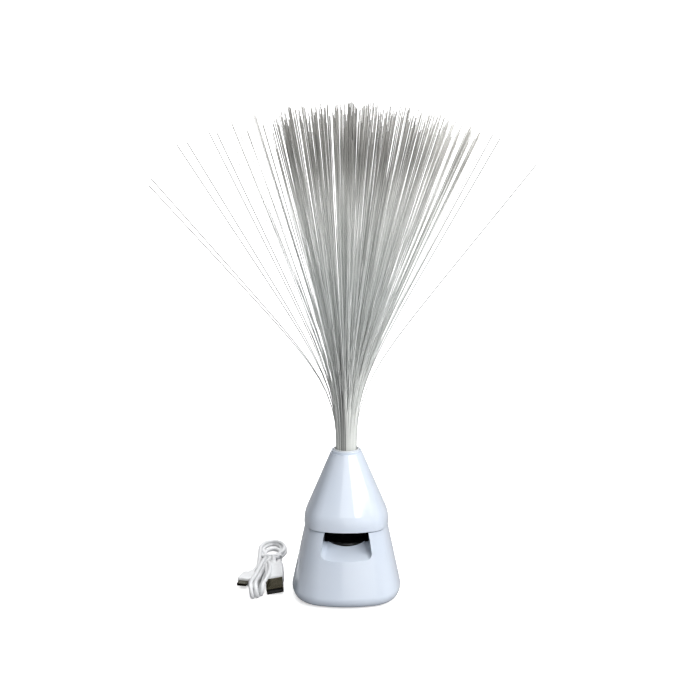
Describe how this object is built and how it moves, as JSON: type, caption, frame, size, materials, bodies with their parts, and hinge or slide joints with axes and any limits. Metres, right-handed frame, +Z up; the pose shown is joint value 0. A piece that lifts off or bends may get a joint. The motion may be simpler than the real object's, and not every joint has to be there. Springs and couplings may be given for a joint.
{
  "type": "fibre optic lamp",
  "caption": "Rounded square table lamp: a tapered housing with open sound scoops round a speaker carries a spreading spray of clear light fibres; a folded charging lead lies beside it.",
  "frame": {"origin": "centre of the lamp's base on the floor", "axes": "+Z up along the fibre spray, -Y towards the front, +X to the right as seen from the front; the controls and charging socket face +Y"},
  "size_m": [0.2724, 0.22, 0.3482],
  "materials": {
    "housing_white": "satin moulded",
    "inner_plastic": "moulded",
    "black_plastic": "fine texture",
    "clear_fibre": "polished",
    "ferrule_plastic": "moulded",
    "resin": "cast",
    "screw_steel": "zinc plated",
    "plug_steel": "nickel plated",
    "magnet_ferrite": "ground",
    "frame_steel": "black",
    "cone_paper": "coated paper",
    "coil_copper": "enamelled wire",
    "surround_rubber": "smooth",
    "foot_rubber": "smooth",
    "gasket_foam": "foam",
    "board_green": "solder mask",
    "chip_black": "moulded",
    "led_face": "phosphor and silicone",
    "battery_wrap": "heat-shrink film",
    "cord_white": "smooth"
  },
  "bodies": {
    "housing": {"upper_housing": "housing_white", "lower_housing": "housing_white", "upper_floor": "inner_plastic", "bottom_cover": "inner_plastic", "housing_screws": "screw_steel", "cover_screws": "screw_steel", "rubber_feet": "foot_rubber", "led_cap": "inner_plastic", "led_board": "board_green", "led_chip": "led_face", "speaker_gasket": "gasket_foam", "speaker_frame": "frame_steel", "speaker_top_plate": "screw_steel", "speaker_magnet": "magnet_ferrite", "speaker_yoke": "screw_steel", "speaker_surround": "surround_rubber", "main_board": "board_green", "board_components": "chip_black", "control_board": "board_green", "battery": "battery_wrap", "board_screws": "screw_steel", "button_switches": "black_plastic", "charging_socket": "plug_steel", "usb_plug_shell": "plug_steel", "usb_plug_grip": "cord_white", "usb_plug_insert": "black_plastic", "micro_plug_shell": "plug_steel", "micro_plug_grip": "cord_white", "cable_hank": "cord_white", "cable_tie": "cord_white", "cable_tail_usb": "cord_white", "cable_tail_micro": "cord_white"},
    "spray": {"bundle_ferrule": "ferrule_plastic", "fibre_potting": "resin", "fibre_core": "clear_fibre", "fibre_inner": "clear_fibre", "fibre_middle": "clear_fibre", "fibre_outer": "clear_fibre", "fibre_strays": "clear_fibre"},
    "power_button": {"power_button": "inner_plastic"},
    "light_button": {"light_button": "inner_plastic"},
    "cone": {"speaker_cone": "cone_paper", "voice_coil": "coil_copper", "dust_cap": "cone_paper"}
  },
  "joints": [
    {"name": "spray_lift", "type": "slide", "parent": "housing", "child": "spray", "axis": [0, 0, 1], "range_m": [0, 0.04]},
    {"name": "power_press", "type": "slide", "parent": "housing", "child": "power_button", "axis": [0, -1, 0], "range_m": [0, 0.0006], "stiffness_N_per_m": 400, "springref_m": -0.0005},
    {"name": "light_press", "type": "slide", "parent": "housing", "child": "light_button", "axis": [0, -1, 0], "range_m": [0, 0.0006], "stiffness_N_per_m": 400, "springref_m": -0.0005},
    {"name": "cone_travel", "type": "slide", "parent": "housing", "child": "cone", "axis": [0, 0, 1], "range_m": [-0.0008, 0.0008], "stiffness_N_per_m": 1200, "deforming": ["speaker_surround"]}
  ]
}
